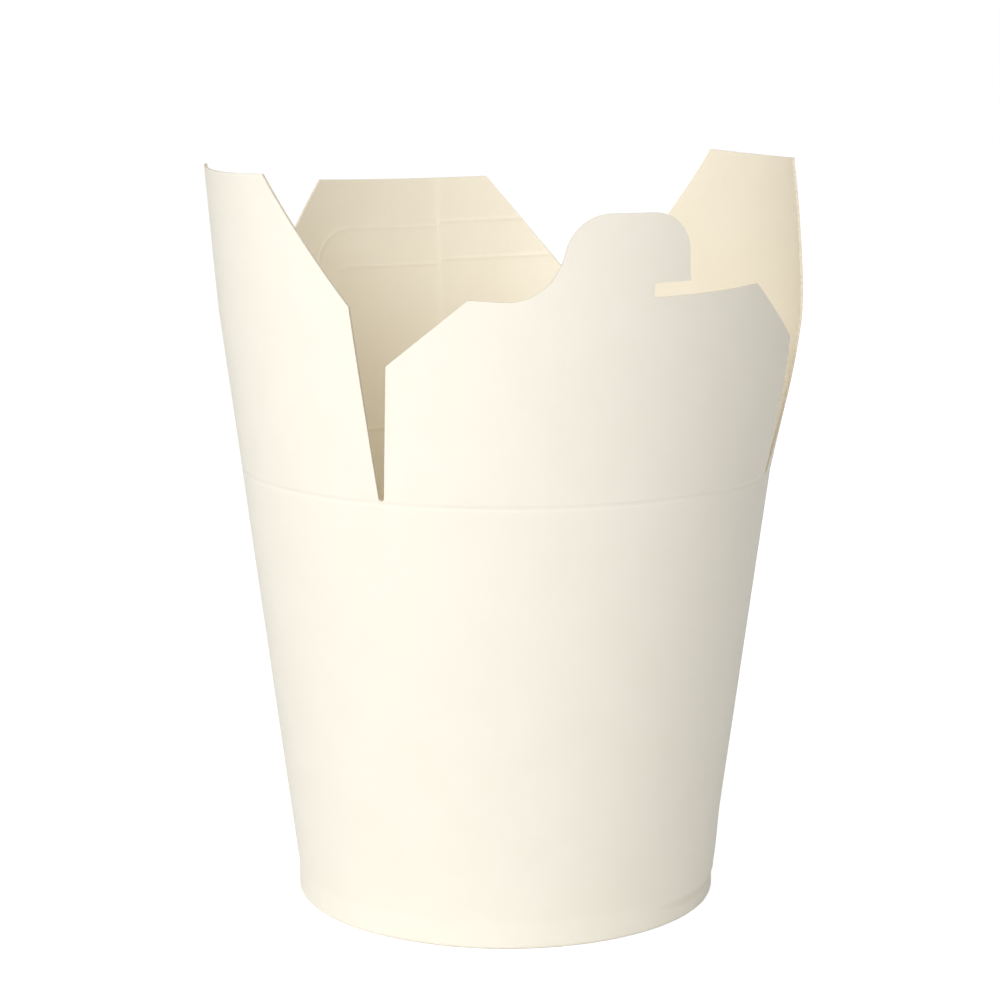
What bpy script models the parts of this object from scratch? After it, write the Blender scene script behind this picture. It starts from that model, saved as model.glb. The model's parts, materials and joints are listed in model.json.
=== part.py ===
"""Round-based folding food box of coated board, standing open and empty.

Six pieces: a tapered sleeve whose bottom edge turns under, a recessed base disc whose skirt sits in that
turned edge, and four flaps that fold in along the score line round the rim. The front flap ends in a hooked
tab, and a slot under the hook takes the edge of the flap behind it.

The frame has its origin at the middle of the base, on the table. +Z is up and the hooked flap faces -Y.
"""
import math

import bmesh
import bpy
from mathutils import Vector

MM = 0.001

# Driving dimensions, in metres and degrees
BOARD = 0.50 * MM             # thickness of the board
GAP = 0.30 * MM               # clearance between pieces that touch in the real box
RIM_RADIUS = 50.0 * MM        # outside radius at the score line
RIM_HEIGHT = 82.4 * MM        # height of the score line above the table
TAPER = 0.128                 # growth of the radius with height
HEEL_HEIGHT = 4.5 * MM        # height of the pressed band round the foot
HEEL_RADIUS = 39.8 * MM       # outside radius of the pressed band, which is straight
HEEL_EASE = 1.2 * MM          # height over which the band runs out into the cone
TURN_UP = 6.3 * MM            # top of the edge that is turned up inside the foot
BASE_TOP = 8.0 * MM           # height of the base disc's upper face
BASE_BEND = 0.7 * MM          # size of the bend between the base disc and its skirt
SKIRT_BOTTOM = 1.9 * MM       # lower edge of the base disc's skirt
RIM_SEGMENTS = 96             # facets round the sleeve and the base
FOLD_STEPS = (5, 3)           # facets round the outside and the inside of the turned edge

# The glued lap is a strip of double thickness, off the middle of the back flap
LAP_CENTRE = 166.8            # degrees round from the front, towards +X
LAP_WIDTH = 10.0              # degrees
LAP_EASE = 8.0                # degrees over which the wall swings back to its own radius
LAP_FADE = (9.0 * MM, 13.0 * MM)             # heights over which the inner ply comes out of the foot
LAP_EDGE = 0.02               # half the width of the steep face at each edge of the lap, in degrees

# Flat outlines of the flaps, as cut: x from the flap's middle, y up from the score line
FRONT_CREASE_HALF = 41.9 * MM  # half width of the front and back flaps at the score line
FRONT_HALF = 42.6 * MM        # the same at the top of their straight sides
FRONT_CORNERS = (23.0 * MM, 25.0 * MM)       # tops of the front flap's straight sides, left and right
SHOULDER_HALF = 28.6 * MM     # half width of the front flap's straight shoulders
SHOULDERS = (36.2 * MM, 37.1 * MM)           # their heights, left and right
TAB_TOP = 51.8 * MM           # top of the tab
CROWN_X = -4.65 * MM          # middle of the round on the tab's smooth side
CROWN_RADIUS = 8.0 * MM       # radius of that round
HOLLOW_X = -22.6 * MM         # middle of the hollow curve between the left shoulder and the tab
HOLLOW_RADIUS = 10.0 * MM     # radius of that hollow
TAB_SLOPE = 75.0              # degrees of slope where the hollow runs into the round
HOOK_X = 3.0 * MM             # middle of the round above the hook
HOOK_RADIUS = 7.8 * MM        # radius of that round
HOOK_TIP = 11.35 * MM         # end of the hook
SLOT_END = 4.0 * MM           # closed end of the slot
SLOT_TOP = 39.6 * MM          # underside of the hook
BACK_TOP = 51.4 * MM          # top of the back flap
BACK_TOP_HALF = 18.7 * MM     # half width of its straight top
BACK_CORNER = 20.0 * MM       # top of its straight sides
SIDE_HALF = 35.4 * MM         # half width of the side flaps
SIDE_TOPS = (57.1 * MM, 57.9 * MM)           # tops of the left and the right flap
SIDE_TOP_HALF = 18.8 * MM     # half width of their straight tops
SIDE_CORNER = 33.8 * MM       # top of their straight sides

# Free board strays from the cone. For each flap, seen from outside: how far its left and right sides stand
# out at half its height, then how far the left and right ends of its top lean in
STRAY = {"front_flap": (0.0 * MM, 1.95 * MM, 0.0 * MM, 0.0 * MM),
         "right_flap": (2.7 * MM, -1.5 * MM, 3.1 * MM, 2.1 * MM),
         "back_flap": (0.0 * MM, 0.0 * MM, 0.0 * MM, 0.0 * MM),
         "left_flap": (0.0 * MM, 0.3 * MM, 1.3 * MM, 0.4 * MM)}
LEAN_START = 30.0 * MM        # height above the score line where a flap starts to lean
LEAN_CURVE = 1.15             # how gently it starts
SIDE_CURVE = 3.0              # how much of the stray is near a flap's side

COLUMN_STEP = 3.75            # degrees between a flap's bending lines
ROW_STEP = 9.0 * MM           # height between its rows of facets
ARC_STEP = 15.0               # degrees between points on a rounded corner
NEAREST = 0.5                 # least angle in degrees between two lines of facets

SLOPE_LENGTH = math.hypot(1.0, TAPER)             # length along the wall for each unit of height
APEX = RIM_RADIUS * SLOPE_LENGTH / TAPER          # from the cone's tip to the score line, along the wall
TURN = TAPER / SLOPE_LENGTH                       # turn in the flat blank for each turn of the rim
LAP_EDGES = [LAP_CENTRE + side * 0.5 * LAP_WIDTH for side in (-1.0, 1.0)]

# The bottom edge turns round the skirt: board, gap, skirt, gap, board
FOLD_RADIUS = 0.5 * (3.0 * BOARD + 2.0 * GAP)
FOLD_INSIDE = FOLD_RADIUS - BOARD
FOLD_MIDDLE = FOLD_RADIUS * math.cos(0.5 * math.pi / FOLD_STEPS[0])   # its lowest facets stand on the table

BOARD_COLOUR = (0.93, 0.89, 0.80)
BOARD_ROUGHNESS = 0.45


def remove_old_objects():
    for old in list(bpy.data.objects):
        bpy.data.objects.remove(old, do_unlink=True)


def board_material(name):
    """Cream board with a thin coating, one material for each piece."""
    material = bpy.data.materials.new(name)
    material.use_nodes = True
    shader = material.node_tree.nodes["Principled BSDF"]
    shader.inputs["Base Color"].default_value = (*BOARD_COLOUR, 1.0)
    shader.inputs["Roughness"].default_value = BOARD_ROUGHNESS
    shader.inputs["Metallic"].default_value = 0.0
    return material


def smoothstep(low, high, value):
    t = min(max((value - low) / (high - low), 0.0), 1.0)
    return t * t * (3.0 - 2.0 * t)


def cone_radius(z):
    """Outside radius of the plain cone."""
    return RIM_RADIUS + TAPER * (z - RIM_HEIGHT)


def foot_radius(z):
    """Outside radius of the sleeve, with its pressed band."""
    band = 1.0 - smoothstep(HEEL_HEIGHT, HEEL_HEIGHT + HEEL_EASE, z)
    return cone_radius(z) + (HEEL_RADIUS - cone_radius(z)) * band


def lap_shift(angle, z):
    """How far the wall's outer and inner faces move out at an angle, because of the glued lap."""
    from_centre = (angle - LAP_CENTRE + 180.0) % 360.0 - 180.0
    half = 0.5 * LAP_WIDTH
    ease_out = 1.0 - smoothstep(half, half + LAP_EASE, abs(from_centre))
    fade = smoothstep(*LAP_FADE, z)
    shift = 0.5 * BOARD * ease_out
    outer = -shift if from_centre < -half else shift
    inner = shift if from_centre > half else -shift
    return outer, inner * fade


def at(angle, radius, z):
    """A point round the box: 0 degrees is the front (-Y), 90 is +X."""
    turn = math.radians(angle)
    return Vector((radius * math.sin(turn), -radius * math.cos(turn), z))


def with_lap_edges(angles):
    """Adds a close pair of facet lines at each edge of the lap, in place of any line very near it."""
    for edge in LAP_EDGES:
        angles = [angle for angle in angles if abs(angle - edge) > NEAREST]
        angles += [edge - LAP_EDGE, edge + LAP_EDGE]
    return sorted(angles)


def rim_columns():
    """Angles of the sleeve's facet lines."""
    step = 360.0 / RIM_SEGMENTS
    return with_lap_edges([step * k for k in range(RIM_SEGMENTS)])


def turned_ring(name, columns, profile_at, material):
    """A closed ring: profile_at gives the same number of (radius, z) points at each angle."""
    mesh = bmesh.new()
    loops = []
    for angle in columns:
        loops.append([mesh.verts.new(at(angle, r, z)) for r, z in profile_at(angle)])
    count = len(loops[0])
    for here, after in zip(loops, loops[1:] + loops[:1]):
        for k in range(count):
            following = (k + 1) % count
            mesh.faces.new((here[k], after[k], after[following], here[following]))
    return finish(name, mesh, material)


def finish(name, mesh, material, origin=Vector((0.0, 0.0, 0.0))):
    """Points the faces out, moves the mesh to its own origin and makes the object."""
    bmesh.ops.recalc_face_normals(mesh, faces=mesh.faces)
    if mesh.calc_volume(signed=True) < 0.0:
        bmesh.ops.reverse_faces(mesh, faces=mesh.faces)
    bmesh.ops.translate(mesh, verts=mesh.verts, vec=-origin)
    data = bpy.data.meshes.new(name)
    mesh.to_mesh(data)
    mesh.free()
    data.shade_smooth()
    data.set_sharp_from_angle(angle=math.radians(30.0))
    data.materials.append(material)
    piece = bpy.data.objects.new(name, data)
    piece.location = origin
    bpy.context.scene.collection.objects.link(piece)
    return piece


def fold_points(centre_radius, radius, steps, start, end):
    """Points round the turned bottom edge, from angle start to end, degrees from straight out."""
    points = []
    for k in range(steps + 1):
        turn = math.radians(start + (end - start) * k / steps)
        points.append((centre_radius + radius * math.cos(turn), FOLD_MIDDLE + radius * math.sin(turn)))
    return points


def sleeve_profile(angle):
    """Section of the sleeve at one angle: down the outside, round the fold and back up the inside."""
    fold_centre = HEEL_RADIUS - FOLD_RADIUS
    top = RIM_HEIGHT - 0.5 * GAP
    outside_heights = [top, 0.5 * RIM_HEIGHT, LAP_FADE[1], HEEL_HEIGHT + HEEL_EASE, HEEL_HEIGHT]
    points = [(foot_radius(z) + lap_shift(angle, z)[0], z) for z in outside_heights]
    points += fold_points(fold_centre, FOLD_RADIUS, FOLD_STEPS[0], 0.0, -180.0)
    turned_heights = (HEEL_HEIGHT, HEEL_HEIGHT + HEEL_EASE, TURN_UP)
    turned_in = [(foot_radius(z) - 2.0 * FOLD_RADIUS, z) for z in turned_heights]
    points += turned_in + [(radius + BOARD, z) for radius, z in reversed(turned_in)]
    points += fold_points(fold_centre, FOLD_INSIDE, FOLD_STEPS[1], -180.0, 0.0)
    inside_heights = [HEEL_HEIGHT, HEEL_HEIGHT + HEEL_EASE, LAP_FADE[0], LAP_FADE[1], 0.5 * RIM_HEIGHT, top]
    points += [(foot_radius(z) - BOARD + lap_shift(angle, z)[1], z) for z in inside_heights]
    return points


def make_sleeve():
    return turned_ring("sleeve", rim_columns(), sleeve_profile, board_material("sleeve_board"))


def make_base():
    """The base disc: a flat floor with its rim bent down into the sleeve's turned edge."""
    step = 360.0 / RIM_SEGMENTS
    columns = [step * k for k in range(RIM_SEGMENTS)]

    def skirt_radius(z):
        return foot_radius(z) - BOARD - GAP

    shoulder = BASE_TOP - BASE_BEND
    straight_heights = (shoulder, HEEL_HEIGHT + HEEL_EASE, HEEL_HEIGHT, SKIRT_BOTTOM)
    profile = [(skirt_radius(BASE_TOP) - BASE_BEND, BASE_TOP)]
    profile += [(skirt_radius(z), z) for z in straight_heights]
    profile += [(skirt_radius(z) - BOARD, z) for z in straight_heights[:0:-1]]
    profile += [(skirt_radius(shoulder) - BOARD, shoulder), (skirt_radius(BASE_TOP) - BASE_BEND, BASE_TOP - BOARD)]
    mesh = bmesh.new()
    loops = [[mesh.verts.new(at(angle, r, z)) for angle in columns] for r, z in profile]
    for upper, lower in zip(loops, loops[1:]):
        for k in range(RIM_SEGMENTS):
            following = (k + 1) % RIM_SEGMENTS
            mesh.faces.new((upper[k], upper[following], lower[following], lower[k]))
    mesh.faces.new(loops[0])
    mesh.faces.new(loops[-1])
    return finish("base", mesh, board_material("base_board"))


def arc(centre_x, centre_y, radius, start, end):
    """Points on a rounded corner, degrees anticlockwise from +x, ends included."""
    steps = max(1, round(abs(end - start) / ARC_STEP))
    turns = [math.radians(start + (end - start) * k / steps) for k in range(steps + 1)]
    return [(centre_x + radius * math.cos(t), centre_y + radius * math.sin(t)) for t in turns]


def bending_lines(flap):
    """Angles from a flap's middle of the straight lines along which it bends."""
    count = int((half_angle(flap["half"]) - NEAREST) / COLUMN_STEP)
    angles = [flap["centre"] + k * COLUMN_STEP for k in range(-count, count + 1)]
    if angles[0] < LAP_CENTRE < angles[-1]:
        angles = with_lap_edges(angles)
    return [angle - flap["centre"] for angle in angles]


def crease_points(flap):
    """The flap's lower edge, which follows the score line, from left to right."""
    limit = half_angle(flap["half"])
    return [unroll(angle, 0.5 * GAP) for angle in [-limit] + bending_lines(flap) + [limit]]


def half_angle(half):
    """Angle round the rim of a point on the score line, half the flap's width from its middle."""
    return math.degrees(math.asin(half / APEX)) / TURN


def unroll(angle, height):
    """Flat position of a point, from its angle round the rim and its height up the wall."""
    reach = APEX + height
    turn = math.radians(angle) * TURN
    return reach * math.sin(turn), reach * math.cos(turn) - APEX


def front_outline():
    """The hooked flap, seen from outside, anticlockwise from the right end of its crease."""
    left_corner, right_corner = FRONT_CORNERS
    left_shoulder, right_shoulder = SHOULDERS
    outline = [(FRONT_HALF, right_corner), (SHOULDER_HALF, right_shoulder), (SLOT_END, right_shoulder)]
    outline += [(SLOT_END, SLOT_TOP), (HOOK_TIP, SLOT_TOP)]
    outline += arc(HOOK_X, TAB_TOP - HOOK_RADIUS, HOOK_RADIUS, 0.0, 90.0)
    outline += arc(CROWN_X, TAB_TOP - CROWN_RADIUS, CROWN_RADIUS, 90.0, 90.0 + TAB_SLOPE)
    outline += arc(HOLLOW_X, left_shoulder + HOLLOW_RADIUS, HOLLOW_RADIUS, TAB_SLOPE - 90.0, -90.0)
    outline += [(-SHOULDER_HALF, left_shoulder), (-FRONT_HALF, left_corner)]
    return outline


def plain_outline(half, corner, top_half, top):
    """A flap with straight sides, sloping shoulders and a straight top."""
    return [(half, corner), (top_half, top), (-top_half, top), (-half, corner)]


def flap_sheet(outline, flap):
    """The flat flap, cut along its bending lines, as a sheet of triangles in a bmesh."""
    mesh = bmesh.new()
    mesh.faces.new([mesh.verts.new((x, y, 0.0)) for x, y in outline + crease_points(flap)])
    for angle in bending_lines(flap):
        turn = math.radians(angle) * TURN
        cut(mesh, (0.0, -APEX, 0.0), (math.cos(turn), -math.sin(turn), 0.0))
    for k in range(1, int(flap["top"] / ROW_STEP) + 1):
        cut(mesh, (0.0, k * ROW_STEP, 0.0), (0.0, 1.0, 0.0))
    bmesh.ops.triangulate(mesh, faces=mesh.faces)
    return mesh


def cut(mesh, point, normal):
    parts = mesh.verts[:] + mesh.edges[:] + mesh.faces[:]
    bmesh.ops.bisect_plane(mesh, geom=parts, dist=1e-7, plane_co=point, plane_no=normal)


def wrapped(x, y, inner, flap):
    """Where a point of the flat flap's outer or inner face lies once the flap is wrapped round the cone."""
    left_out, right_out, left_lean, right_lean = STRAY[flap["name"]]
    reach = math.hypot(x, y + APEX)
    angle = math.degrees(math.atan2(x, y + APEX)) / TURN
    height = reach - APEX
    side = angle / half_angle(flap["half"])
    rise = min(height / flap["top"], 1.0)
    out = (right_out if side > 0.0 else left_out) * abs(side) ** SIDE_CURVE * math.sin(math.pi * rise)
    leaning = max(height - LEAN_START, 0.0) / (flap["top"] - LEAN_START)
    top_side = min(max(0.5 + side, 0.0), 1.0)
    lean = (left_lean + (right_lean - left_lean) * top_side) * leaning ** LEAN_CURVE
    z = RIM_HEIGHT + height / SLOPE_LENGTH
    outer_shift, inner_shift = lap_shift(flap["centre"] + angle, z)
    ply = inner_shift - BOARD * SLOPE_LENGTH if inner else outer_shift
    return at(flap["centre"] + angle, cone_radius(z) + out - lean + ply, z)


def make_flap(name, outline, half, centre):
    """A flap of board, wrapped round the cone, with its origin on the chord it folds about."""
    flap = {"name": name, "half": half, "centre": centre, "top": max(y for x, y in outline)}
    mesh = flap_sheet(outline, flap)
    extruded = bmesh.ops.extrude_face_region(mesh, geom=mesh.faces[:], use_keep_orig=True)
    inner = {part for part in extruded["geom"] if isinstance(part, bmesh.types.BMVert)}
    for vert in mesh.verts:
        vert.co = wrapped(vert.co.x, vert.co.y, vert in inner, flap)
    chord = (RIM_RADIUS - BOARD * SLOPE_LENGTH) * math.cos(math.radians(half_angle(half)))
    return finish(name, mesh, board_material(name + "_board"), at(centre, chord, RIM_HEIGHT))


def main():
    remove_old_objects()
    make_sleeve()
    make_base()
    back = plain_outline(FRONT_HALF, BACK_CORNER, BACK_TOP_HALF, BACK_TOP)
    left, right = [plain_outline(SIDE_HALF, SIDE_CORNER, SIDE_TOP_HALF, top) for top in SIDE_TOPS]
    make_flap("front_flap", front_outline(), FRONT_CREASE_HALF, 0.0)
    make_flap("right_flap", right, SIDE_HALF, 90.0)
    make_flap("back_flap", back, FRONT_CREASE_HALF, 180.0)
    make_flap("left_flap", left, SIDE_HALF, 270.0)


main()
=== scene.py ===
"""Noodle takeaway box: round-based folding food box of coated board, open and empty.

Each flap starts as a flat blank. It is cut to its outline, given its thickness and wrapped round
the cone of the wall. The wall is its own section carried round the axis, and the base is a disc
whose edge is drawn down into a skirt. The frame is the packed model's: metres, +Z up, the hooked
flap towards -Y.
"""

import json
import math

import bmesh
import bpy
from mathutils import Matrix, Vector, noise


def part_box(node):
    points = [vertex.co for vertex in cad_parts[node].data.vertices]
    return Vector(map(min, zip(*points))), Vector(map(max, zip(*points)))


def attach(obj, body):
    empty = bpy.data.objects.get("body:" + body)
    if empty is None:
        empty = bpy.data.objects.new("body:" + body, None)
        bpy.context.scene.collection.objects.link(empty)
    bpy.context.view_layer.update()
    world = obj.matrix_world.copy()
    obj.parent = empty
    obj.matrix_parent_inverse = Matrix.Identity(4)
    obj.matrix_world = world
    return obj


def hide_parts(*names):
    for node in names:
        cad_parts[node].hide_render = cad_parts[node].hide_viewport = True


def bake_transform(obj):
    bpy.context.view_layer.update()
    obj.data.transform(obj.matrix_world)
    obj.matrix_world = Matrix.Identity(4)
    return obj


bl_info = {
    "name": "Noodle Takeaway Box",
    "version": (1, 0, 0),
    "blender": (4, 5, 0),
    "location": "View3D > Sidebar > Noodle Box",
    "description": "Models a round-based folding food box of coated board, open and empty",
    "category": "Add Mesh",
}

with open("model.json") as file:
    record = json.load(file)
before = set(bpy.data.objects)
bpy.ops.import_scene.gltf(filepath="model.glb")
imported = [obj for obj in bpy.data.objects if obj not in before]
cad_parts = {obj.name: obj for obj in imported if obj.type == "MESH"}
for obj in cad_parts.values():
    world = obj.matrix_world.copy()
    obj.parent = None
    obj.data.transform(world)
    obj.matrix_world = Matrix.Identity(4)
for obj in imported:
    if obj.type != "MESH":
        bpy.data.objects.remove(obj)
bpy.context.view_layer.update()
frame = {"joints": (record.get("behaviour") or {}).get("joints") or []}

MM = 0.001
TINY = 1e-7
SLEEVE_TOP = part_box("sleeve")[1]
BASE_LOW, BASE_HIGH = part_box("base")
HINGES = {joint["child"]: Vector(joint["pos_m"]) for joint in frame["joints"]}
RIM_HEIGHT = HINGES["front"].z
TAPER = 0.128  # growth of the radius with height
RIM_RADIUS = SLEEVE_TOP.x + TAPER * (RIM_HEIGHT - SLEEVE_TOP.z)


# Sizes and colours

def length(name, description, default):
    return bpy.props.FloatProperty(name=name, description=description, default=default,
                                   precision=5, unit="LENGTH")


def angle(name, description, degrees):
    return bpy.props.FloatProperty(name=name, description=description,
                                   default=math.radians(degrees), precision=4,
                                   unit="ROTATION", subtype="ANGLE")


def number(name, description, default):
    return bpy.props.FloatProperty(name=name, description=description, default=default,
                                   precision=4)


def power(name, description, default):
    return bpy.props.FloatProperty(name=name, description=description, default=default,
                                   unit="POWER")


def share(name, description, default):
    return bpy.props.FloatProperty(name=name, description=description, default=default,
                                   min=0.0, max=1.0, subtype="FACTOR")


def colour(name, description, default):
    return bpy.props.FloatVectorProperty(name=name, description=description, default=default,
                                         size=3, min=0.0, max=1.0, subtype="COLOR")


def stray(name, millimetres):
    return bpy.props.FloatVectorProperty(
        name=name, description="How far the left and right sides stand out, "
        "then how far the left and right top corners lean in",
        default=[value * MM for value in millimetres], size=4, precision=5, unit="LENGTH")


def part_settings(name, kind):
    return bpy.props.PointerProperty(name=name, description=kind.__doc__.rstrip("."), type=kind)


class NoodleBoxWall(bpy.types.PropertyGroup):
    """Sizes of the tapered wall and of its board."""

    board: length("Board thickness", "Thickness of the coated board", 0.50 * MM)
    rim_radius: length("Rim radius", "Outside radius at the score line", RIM_RADIUS)
    rim_height: length("Rim height", "Height of the score line above the table", RIM_HEIGHT)
    taper: number("Taper", "Growth of the radius for each unit of height", TAPER)
    heel_height: length("Band height", "Height of the pressed band round the foot", 4.0 * MM)
    heel_radius: length("Band radius", "Outside radius of the pressed band", 40.1 * MM)
    heel_ease: length("Band run-out", "Height over which the band runs out into the cone",
                      2.6 * MM)
    crimp: length("Crimp", "Depth of the slight puckers pressed into the band", 0.07 * MM)
    swell: length("Swell", "How far the wall swells over the band on the right side", 0.35 * MM)
    groove: length("Groove", "Depth of the groove under the swell", 0.30 * MM)
    groove_height: length("Groove height", "Height of the groove above the table", 3.5 * MM)
    swell_start: angle("Swell start", "Where the swell starts, round from the hooked flap", 16.0)
    swell_end: angle("Swell end", "Where the swell ends, round from the hooked flap", 126.0)
    turn_up: length("Turned edge", "Top of the edge turned up inside the foot", 6.3 * MM)
    lap_centre: angle("Lap position", "Middle of the glued lap, round from the hooked flap", 166.8)
    lap_width: angle("Lap width", "Width of the glued lap", 10.0)
    lap_step: length("Lap step", "How far each ply steps at the pared edge of the lap", 0.12 * MM)
    lap_ease: angle("Lap run-out", "Angle over which the wall swings back beside the lap", 8.0)
    lap_low: length("Lap start", "Height where the inner ply starts to come out of the foot",
                    9.0 * MM)
    lap_high: length("Lap clear", "Height where the inner ply is all out", 13.0 * MM)
    score_depth: length("Score depth", "Depth of the pressed score line round the rim", 0.10 * MM)
    score_half: length("Score half width", "Half the width of the pressed score line", 0.70 * MM)
    score_rise: length("Score rise", "Middle of the pressed line above the rim height", 0.45 * MM)
    wave: length("Waviness", "How far the board strays from a true cone", 0.05 * MM)
    wave_size: length("Wave size", "Distance between one wave in the board and the next", 26.0 * MM)


class NoodleBoxFlaps(bpy.types.PropertyGroup):
    """Flat outlines of the flaps, and how they stray from the cone."""

    front_crease_half: length("Front crease", "Half width of the front and back flaps at the "
                              "score line", 41.9 * MM)
    front_half: length("Front side", "Half width of the front and back flaps at their side corners",
                       42.6 * MM)
    front_left_corner: length("Left corner", "Height of the hooked flap's left side corner",
                              23.0 * MM)
    front_right_corner: length("Right corner", "Height of the hooked flap's right side corner",
                               25.0 * MM)
    back_top: length("Back top", "Height of the back flap", 51.4 * MM)
    back_top_half: length("Back top width", "Half width of the back flap's straight top", 18.7 * MM)
    back_corner: length("Back corner", "Height of the back flap's side corners", 20.0 * MM)
    side_half: length("Side flap", "Half width of the left and right flaps", 35.4 * MM)
    left_top: length("Left top", "Height of the left flap", 57.1 * MM)
    right_top: length("Right top", "Height of the right flap", 57.9 * MM)
    side_top_half: length("Side top width", "Half width of the side flaps' straight tops",
                          18.8 * MM)
    side_corner: length("Side corner", "Height of the side flaps' side corners", 33.8 * MM)
    web: length("Web", "Height of the board left between two flaps above the score line", 0.95 * MM)
    front_stray: stray("Front stray", (0.0, 1.95, 0.0, 0.0))
    right_stray: stray("Right stray", (2.7, -1.5, 3.1, 2.1))
    back_stray: stray("Back stray", (0.0, 0.0, 0.0, 0.0))
    left_stray: stray("Left stray", (0.0, 0.3, 1.3, 0.4))
    lean_start: length("Lean start", "Height above the score line where a flap starts to lean",
                       30.0 * MM)
    lean_curve: number("Lean curve", "How gently the lean starts", 1.15)
    side_curve: number("Side curve", "How near to the sides the stray keeps", 3.0)


class NoodleBoxTab(bpy.types.PropertyGroup):
    """Outline of the hooked tab and its slot."""

    shoulder_half: length("Shoulder", "Half width of the straight shoulders", 28.6 * MM)
    left_shoulder: length("Left shoulder", "Height of the left shoulder", 36.2 * MM)
    right_shoulder: length("Right shoulder", "Height of the right shoulder", 37.1 * MM)
    top: length("Tab top", "Height of the tab", 51.8 * MM)
    crown_x: length("Crown middle", "Middle of the round on the tab's smooth side", -4.65 * MM)
    crown_radius: length("Crown radius", "Radius of that round", 8.0 * MM)
    hollow_x: length("Hollow middle", "Middle of the hollow curve beside the tab", -22.6 * MM)
    hollow_radius: length("Hollow radius", "Radius of that hollow", 10.0 * MM)
    slope: angle("Tab slope", "Slope where the hollow runs into the round", 75.0)
    hook_x: length("Hook middle", "Middle of the round above the hook", 3.0 * MM)
    hook_radius: length("Hook radius", "Radius of that round", 7.8 * MM)
    hook_tip: length("Hook tip", "End of the hook", 11.35 * MM)
    slot_end: length("Slot end", "Closed end of the slot", 4.0 * MM)
    slot_top: length("Slot top", "Underside of the hook", 39.6 * MM)


class NoodleBoxScores(bpy.types.PropertyGroup):
    """Pressed lines across the back flap, where the tab locks."""

    upper: length("Upper line", "Height of the upper line", 41.5 * MM)
    lower: length("Lower line", "Height of the lower line", 33.7 * MM)
    end: length("Line end", "Where the lines start to turn down", 12.0 * MM)
    end_radius: length("End radius", "Radius of the turned ends", 8.5 * MM)
    step: length("Ply step", "How much higher the lines are on the inner ply", 0.9 * MM)
    half: length("Line half width", "Half the width of a pressed line", 0.55 * MM)
    height: length("Line height", "How far a line stands out of the inner face", 0.07 * MM)


class NoodleBoxLook(bpy.types.PropertyGroup):
    """Colours and finish."""

    outside: colour("Outside", "Colour of the coated outer faces", (0.89, 0.833, 0.70))
    outside_deep: colour("Outside shade", "Slightly deeper cream of the outer mottling",
                         (0.878, 0.817, 0.68))
    # Painted light: the inner cream and its deeper mottling below are warmer and brighter than the
    # outer coat, partly the inner coat's own tone and partly painted bounce light from inside the
    # box.
    inside: colour("Inside", "Colour of the coated inner faces", (0.95, 0.87, 0.70))
    inside_deep: colour("Inside shade", "Slightly deeper cream of the inner mottling",
                        (0.935, 0.852, 0.675))
    edge: colour("Cut edge", "Colour of the bare cut edges", (0.80, 0.71, 0.56))
    edge_deep: colour("Cut edge fibre", "Darker fibres in the cut edges", (0.67, 0.57, 0.42))
    coat_roughness: share("Coat roughness", "Roughness of the coated faces", 0.42)
    edge_roughness: share("Edge roughness", "Roughness of the cut edges", 0.9)
    floor: colour("Floor", "Colour of the floor", (0.94, 0.94, 0.94))


class NoodleBoxStage(bpy.types.PropertyGroup):
    """Camera and lights."""

    heading: angle("Heading", "Angle from the hooked flap round to the camera", -23.2)
    turn: angle("Turn", "How far the camera turns aside from the box's axis", 0.13)
    tilt: angle("Tilt", "How far the camera looks down", 10.2)
    roll: angle("Roll", "How far the camera is rolled", 0.07)
    distance: length("Distance", "Camera's distance from the box's axis", 0.5)
    height: length("Height", "Camera's height above the table", 0.16566)
    lens: bpy.props.FloatProperty(name="Lens", description="Focal length, for a 36 mm sensor",
                                  default=95.925, unit="CAMERA")
    key_power: power("Key light", "Power of the big soft light, on the left of the camera", 16.3)
    side_power: power("Side light", "Power of the soft light on the left", 1.2)
    back_power: power("Back light", "Power of the soft light behind", 1.2)
    key_colour: colour("Key colour", "Colour of the key light", (0.905, 0.935, 1.0))
    ambient: number("Ambient", "Strength of the light from all round", 0.43)
    floor_glow: number("Floor glow", "How much light the floor adds to its shade, for the camera "
                       "alone", 0.6)


class NoodleBoxSettings(bpy.types.PropertyGroup):
    """All settings of the box."""

    wall: part_settings("Wall", NoodleBoxWall)
    flaps: part_settings("Flaps", NoodleBoxFlaps)
    tab: part_settings("Tab", NoodleBoxTab)
    scores: part_settings("Pressed lines", NoodleBoxScores)
    look: part_settings("Look", NoodleBoxLook)
    stage: part_settings("Stage", NoodleBoxStage)


def settings():
    return bpy.context.scene.noodle_box


# The form of the board

COLUMN = math.radians(1.25)      # between the board's columns of faces
NEAREST_COLUMN = 0.3 * COLUMN    # least distance from a column to the slope at the lap's edge
LAP_EDGE = math.radians(0.6)     # half the width of the slope at an edge of the lap
ROW = 1.0 * MM                   # between a flap's rows of faces
FINE_ROW = 0.125 * MM            # between the rows near the score line
FACE_REACH = 0.8 * ROW           # from a flap face's middle to its corners
WASTE = 5                        # rows of waste round a flap's blank
CALM_HEIGHTS = 5.0               # height, in bands, above which the board waves freely
PUCKER_RADIUS = 14.0             # radius of the foot, measured in puckers
PUCKER_RISE = 120.0              # puckers for each metre of height
SMALL_PUCKERS = 2.7              # how much finer the second, weaker puckers are
SWELL_FADE = math.radians(18.0)  # over which the swell comes up from either end
SWELL_FOOT = (-0.3 * MM, 1.2 * MM)  # where the swell comes up, from the middle of the groove
SWELL_TOP = (2.0, 5.0)           # where it runs out, in heights of the groove
GROOVE_HALF = 1.2 * MM           # half the width of the groove
BASE_BEND = 1.0 * MM             # size of the bend between the base disc and its skirt
OUTSIDE, INSIDE, EDGE = 0, 1, 2  # a piece's material slots


def smoothstep(low, high, value):
    t = min(max((value - low) / (high - low), 0.0), 1.0)
    return t * t * (3.0 - 2.0 * t)


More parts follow.
